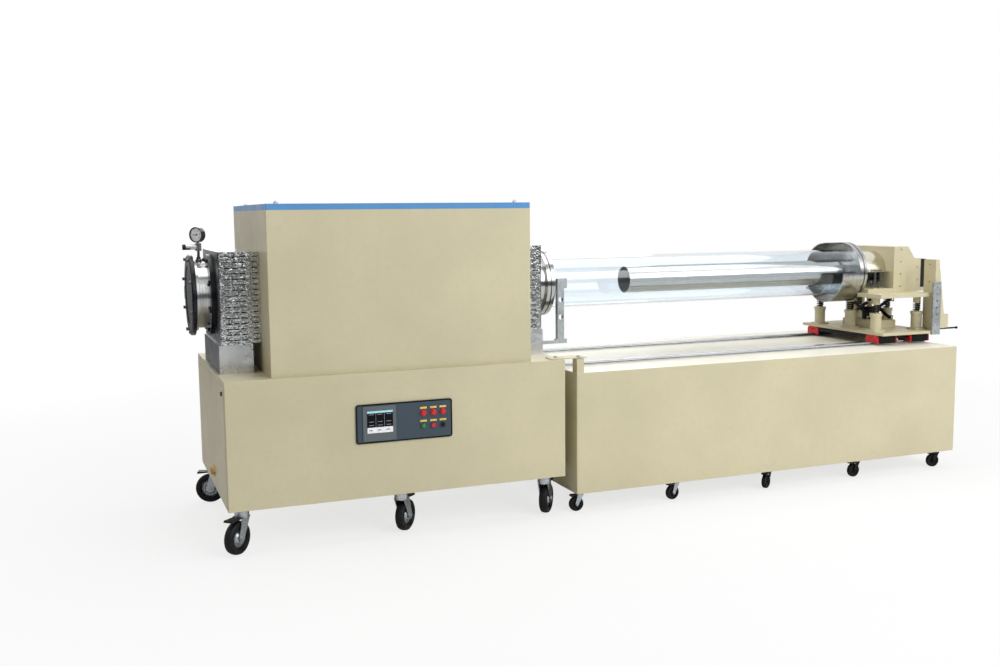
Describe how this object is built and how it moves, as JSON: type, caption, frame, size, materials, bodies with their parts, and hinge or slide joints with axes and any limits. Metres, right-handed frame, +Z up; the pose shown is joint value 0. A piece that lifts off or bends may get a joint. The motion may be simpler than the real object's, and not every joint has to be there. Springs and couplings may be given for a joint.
{
  "type": "tube furnace",
  "caption": "Floor-standing horizontal tube furnace on casters, docked to a loading table whose carriage slides a clear process tube in and out.",
  "frame": {"origin": "on the floor, under the middle of the whole machine", "axes": "+X along the tube from the furnace door to the far end of the loading table, +Y away from the operator, +Z up"},
  "size_m": [4.413, 1.1, 1.552],
  "materials": {
    "beige_paint": "satin",
    "zinc": "satin",
    "slate_panel": "satin",
    "blue_paint": "satin",
    "ceramic_fibre": "matte",
    "heater_ceramic": "matte",
    "fused_silica": "gloss",
    "process_ceramic": "matte",
    "polished_steel": "polished",
    "louvre_steel": "satin",
    "gauge_steel": "polished",
    "dark_steel": "polished",
    "galvanised": "satin",
    "rail_steel": "satin",
    "black_steel": "satin",
    "red_seal": "gloss",
    "green_button": "gloss",
    "red_button": "gloss",
    "black_plastic": "satin",
    "caster_zinc": "satin",
    "tyre_rubber": "satin"
  },
  "bodies": {
    "furnace": {"base_cabinet": "beige_paint", "caster_mounts": "zinc", "control_panel": "slate_panel", "hood_shell": "beige_paint", "hood_lid": "blue_paint", "insulation": "ceramic_fibre", "heating_elements": "heater_ceramic", "process_tube": "process_ceramic", "tube_guards": "polished_steel", "guard_louvres": "louvre_steel", "left_flange": "polished_steel", "right_flange": "polished_steel", "gauge_assembly": "gauge_steel", "tube_guides": "galvanised", "docking_link": "beige_paint", "table_cabinet": "beige_paint", "guide_rails": "rail_steel"},
    "end_door": {"end_door": "dark_steel"},
    "valve_knob": {"valve_knob": "black_plastic"},
    "start_button": {"start_button": "green_button"},
    "stop_button": {"stop_button": "red_button"},
    "selector_switch": {"selector_switch": "black_plastic"},
    "carriage": {"carriage_plate": "beige_paint", "bearing_blocks": "black_steel", "block_end_seals": "red_seal", "spring_posts": "beige_paint", "lift_springs": "black_steel", "lift_base_frame": "beige_paint", "end_brackets": "beige_paint"},
    "platform": {"lift_platform": "beige_paint", "head_frame": "beige_paint", "coupling_hub": "dark_steel", "cradle_flange": "polished_steel", "quartz_tube": "fused_silica", "carrier_tube": "polished_steel"},
    "scissor_outer": {"scissor_arms_outer": "black_steel"},
    "scissor_inner": {"scissor_arms_inner": "black_steel"},
    "lift_lever": {"lift_lever": "black_steel"},
    "base_fork_1": {"base_fork_1": "caster_zinc"},
    "base_wheel_1": {"base_wheel_1": "tyre_rubber"},
    "base_fork_2": {"base_fork_2": "caster_zinc"},
    "base_wheel_2": {"base_wheel_2": "tyre_rubber"},
    "base_fork_3": {"base_fork_3": "caster_zinc"},
    "base_wheel_3": {"base_wheel_3": "tyre_rubber"},
    "base_fork_4": {"base_fork_4": "caster_zinc"},
    "base_wheel_4": {"base_wheel_4": "tyre_rubber"},
    "base_fork_5": {"base_fork_5": "caster_zinc"},
    "base_wheel_5": {"base_wheel_5": "tyre_rubber"},
    "base_fork_6": {"base_fork_6": "caster_zinc"},
    "base_wheel_6": {"base_wheel_6": "tyre_rubber"},
    "table_caster_1": {"table_caster_1": "caster_zinc"},
    "table_caster_2": {"table_caster_2": "caster_zinc"},
    "table_caster_3": {"table_caster_3": "caster_zinc"},
    "table_caster_4": {"table_caster_4": "caster_zinc"},
    "table_caster_5": {"table_caster_5": "caster_zinc"},
    "table_caster_6": {"table_caster_6": "caster_zinc"},
    "table_caster_7": {"table_caster_7": "caster_zinc"},
    "table_caster_8": {"table_caster_8": "caster_zinc"},
    "table_caster_9": {"table_caster_9": "caster_zinc"},
    "table_caster_10": {"table_caster_10": "caster_zinc"}
  },
  "joints": [
    {"name": "end_door_hinge", "type": "hinge", "parent": "furnace", "child": "end_door", "pos_m": [-2.1595, 0.205, 1.121], "axis": [0, 0, -1], "range_deg": [0, 110]},
    {"name": "valve_turn", "type": "hinge", "parent": "furnace", "child": "valve_knob", "pos_m": [-2.2065, 0, 1.345], "axis": [1, 0, 0], "range_deg": [0, 270]},
    {"name": "start_press", "type": "slide", "parent": "furnace", "child": "start_button", "axis": [0, 1, 0], "range_m": [0, 0.003], "stiffness_N_per_m": 400, "springref_m": -0.002},
    {"name": "stop_press", "type": "slide", "parent": "furnace", "child": "stop_button", "axis": [0, 1, 0], "range_m": [0, 0.003], "stiffness_N_per_m": 400, "springref_m": -0.002},
    {"name": "selector_turn", "type": "hinge", "parent": "furnace", "child": "selector_switch", "pos_m": [-1.1225, -0.53, 0.517], "axis": [0, -1, 0], "range_deg": [-45, 45]},
    {"name": "carriage_slide", "type": "slide", "parent": "furnace", "child": "carriage", "axis": [1, 0, 0], "range_m": [-1.7, 0]},
    {"name": "platform_lift", "type": "slide", "parent": "carriage", "child": "platform", "axis": [0, 0, 1], "range_m": [-0.006, 0.006], "deforming": ["lift_springs"]},
    {"name": "scissor_outer_swing", "type": "hinge", "parent": "carriage", "child": "scissor_outer", "pos_m": [1.8055, 0.09526, 0.843], "axis": [-1, 0, 0], "range_deg": [-2, 2]},
    {"name": "scissor_inner_swing", "type": "hinge", "parent": "scissor_outer", "child": "scissor_inner", "pos_m": [1.8055, 0, 0.898], "axis": [1, 0, 0], "range_deg": [-4, 4]},
    {"name": "lift_lever_swing", "type": "hinge", "parent": "carriage", "child": "lift_lever", "pos_m": [2.0375, -0.302, 0.784], "axis": [0, 0, 1], "range_deg": [-35, 35]},
    {"name": "base_swivel_1", "type": "hinge", "parent": "furnace", "child": "base_fork_1", "pos_m": [-2.0405, -0.452, 0.18], "axis": [0, 0, 1], "continuous": true},
    {"name": "base_wheel_spin_1", "type": "hinge", "parent": "base_fork_1", "child": "base_wheel_1", "pos_m": [-2.06737, -0.47887, 0.075], "axis": [0.7071, -0.7071, 0], "continuous": true},
    {"name": "base_swivel_2", "type": "hinge", "parent": "furnace", "child": "base_fork_2", "pos_m": [-1.3065, -0.452, 0.18], "axis": [0, 0, 1], "continuous": true},
    {"name": "base_wheel_spin_2", "type": "hinge", "parent": "base_fork_2", "child": "base_wheel_2", "pos_m": [-1.28058, -0.42421, 0.075], "axis": [-0.7314, 0.682, 0], "continuous": true},
    {"name": "base_swivel_3", "type": "hinge", "parent": "furnace", "child": "base_fork_3", "pos_m": [-0.5725, -0.452, 0.18], "axis": [0, 0, 1], "continuous": true},
    {"name": "base_wheel_spin_3", "type": "hinge", "parent": "base_fork_3", "child": "base_wheel_3", "pos_m": [-0.54859, -0.42247, 0.075], "axis": [-0.7771, 0.6293, 0], "continuous": true},
    {"name": "base_swivel_4", "type": "hinge", "parent": "furnace", "child": "base_fork_4", "pos_m": [-2.0405, 0.452, 0.18], "axis": [0, 0, 1], "continuous": true},
    {"name": "base_wheel_spin_4", "type": "hinge", "parent": "base_fork_4", "child": "base_wheel_4", "pos_m": [-2.07721, 0.46184, 0.075], "axis": [-0.2588, -0.9659, 0], "continuous": true},
    {"name": "base_swivel_5", "type": "hinge", "parent": "furnace", "child": "base_fork_5", "pos_m": [-1.3065, 0.452, 0.18], "axis": [0, 0, 1], "continuous": true},
    {"name": "base_wheel_spin_5", "type": "hinge", "parent": "base_fork_5", "child": "base_wheel_5", "pos_m": [-1.27537, 0.4302, 0.075], "axis": [0.5736, 0.8192, 0], "continuous": true},
    {"name": "base_swivel_6", "type": "hinge", "parent": "furnace", "child": "base_fork_6", "pos_m": [-0.5725, 0.452, 0.18], "axis": [0, 0, 1], "continuous": true},
    {"name": "base_wheel_spin_6", "type": "hinge", "parent": "base_fork_6", "child": "base_wheel_6", "pos_m": [-0.59693, 0.42289, 0.075], "axis": [0.766, -0.6428, 0], "continuous": true},
    {"name": "table_swivel_1", "type": "hinge", "parent": "furnace", "child": "table_caster_1", "pos_m": [-0.3805, -0.462, 0.09], "axis": [0, 0, 1], "continuous": true},
    {"name": "table_swivel_2", "type": "hinge", "parent": "furnace", "child": "table_caster_2", "pos_m": [0.1715, -0.462, 0.09], "axis": [0, 0, 1], "continuous": true},
    {"name": "table_swivel_3", "type": "hinge", "parent": "furnace", "child": "table_caster_3", "pos_m": [0.7465, -0.462, 0.09], "axis": [0, 0, 1], "continuous": true},
    {"name": "table_swivel_4", "type": "hinge", "parent": "furnace", "child": "table_caster_4", "pos_m": [1.3415, -0.462, 0.09], "axis": [0, 0, 1], "continuous": true},
    {"name": "table_swivel_5", "type": "hinge", "parent": "furnace", "child": "table_caster_5", "pos_m": [1.9165, -0.462, 0.09], "axis": [0, 0, 1], "continuous": true},
    {"name": "table_swivel_6", "type": "hinge", "parent": "furnace", "child": "table_caster_6", "pos_m": [-0.3805, 0.462, 0.09], "axis": [0, 0, 1], "continuous": true},
    {"name": "table_swivel_7", "type": "hinge", "parent": "furnace", "child": "table_caster_7", "pos_m": [0.1715, 0.462, 0.09], "axis": [0, 0, 1], "continuous": true},
    {"name": "table_swivel_8", "type": "hinge", "parent": "furnace", "child": "table_caster_8", "pos_m": [0.7465, 0.462, 0.09], "axis": [0, 0, 1], "continuous": true},
    {"name": "table_swivel_9", "type": "hinge", "parent": "furnace", "child": "table_caster_9", "pos_m": [1.3415, 0.462, 0.09], "axis": [0, 0, 1], "continuous": true},
    {"name": "table_swivel_10", "type": "hinge", "parent": "furnace", "child": "table_caster_10", "pos_m": [1.9165, 0.462, 0.09], "axis": [0, 0, 1], "continuous": true}
  ],
  "couplings": [
    {"joint": "scissor_outer_swing", "follows": "platform_lift", "rad_per_m": 5.2486},
    {"joint": "scissor_inner_swing", "follows": "platform_lift", "rad_per_m": 10.497}
  ]
}
